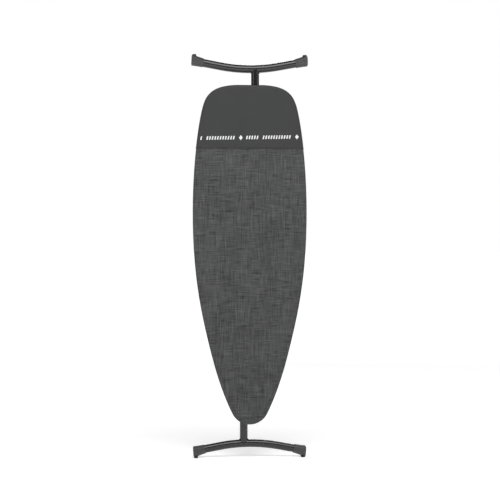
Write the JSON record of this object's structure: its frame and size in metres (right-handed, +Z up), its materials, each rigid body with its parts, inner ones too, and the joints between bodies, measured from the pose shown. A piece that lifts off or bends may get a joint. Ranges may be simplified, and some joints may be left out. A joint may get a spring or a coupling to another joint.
{
  "type": "ironing board",
  "caption": "Folding ironing board with a padded dark denim cover, a plain heat-resistant end panel and crossed black steel legs on arched foot bars.",
  "frame": {"origin": "on the floor, in the middle of the folded board's width and depth", "axes": "+Z up along the board from the nose to the heel, +Y from the ironing face to the legs, +X to the right as seen from the ironing face"},
  "size_m": [0.4708, 0.057, 1.6245],
  "materials": {
    "denim": "woven, matt",
    "heat_cloth": "smooth coated cloth",
    "foam": "matt",
    "felt": "felted",
    "black_frame": "semi-gloss",
    "bare_steel": "zinc plated",
    "cap_plastic": "moulded, matt",
    "rubber": "matt",
    "nylon": "satin"
  },
  "bodies": {
    "board": {"cover": "denim", "heat_panel": "heat_cloth", "foam_pad": "foam", "felt_underlay": "felt", "steel_top": "black_frame", "edge_rim": "black_frame", "cross_brace_1": "black_frame", "cross_brace_2": "black_frame", "cross_brace_3": "black_frame", "cross_brace_4": "black_frame", "cross_brace_5": "black_frame", "rail_left": "black_frame", "rail_right": "black_frame", "rail_centre": "black_frame", "hinge_bracket": "black_frame", "rail_rivets": "bare_steel", "hinge_axle": "bare_steel", "axle_clips": "bare_steel", "shaft_bracket_1": "black_frame", "shaft_bracket_2": "black_frame", "shaft_bracket_3": "black_frame"},
    "nose_leg": {"nose_leg_stem": "black_frame", "nose_foot_bar": "black_frame", "nose_foot_cap_right": "cap_plastic", "nose_foot_cap_left": "cap_plastic", "nose_foot_pad_right": "rubber", "nose_foot_pad_left": "rubber", "nose_leg_hinge_tube": "black_frame", "hinge_bushes": "nylon", "pivot_spacers": "black_frame", "pivot_bolt": "bare_steel", "pivot_nut": "bare_steel"},
    "heel_leg": {"heel_leg_stem": "black_frame", "heel_foot_bar": "black_frame", "heel_foot_cap_left": "cap_plastic", "heel_foot_cap_right": "cap_plastic", "heel_foot_pad_left": "rubber", "heel_foot_pad_right": "rubber", "heel_leg_slide_tube": "black_frame", "slide_bushes": "nylon", "slide_rod": "bare_steel", "slide_rod_clips": "bare_steel", "pivot_sleeve": "black_frame"},
    "height_lever": {"lever_rod": "bare_steel", "lever_grip": "cap_plastic", "height_comb": "bare_steel", "shaft_rings": "bare_steel"}
  },
  "joints": [
    {"name": "leg_fold", "type": "hinge", "parent": "board", "child": "nose_leg", "pos_m": [0, 0.0105, 1.31225], "axis": [1, 0, 0], "range_deg": [0, 47]},
    {"name": "leg_cross", "type": "hinge", "parent": "nose_leg", "child": "heel_leg", "pos_m": [0, 0.0105, 0.81225], "axis": [1, 0, 0], "range_deg": [-94, 0]},
    {"name": "lever_swing", "type": "hinge", "parent": "board", "child": "height_lever", "pos_m": [0.099, 0.0215, 0.5], "axis": [0, 0, 1], "range_deg": [0, 28]}
  ],
  "couplings": [
    {"joint": "leg_cross", "follows": "leg_fold", "ratio": -2}
  ]
}
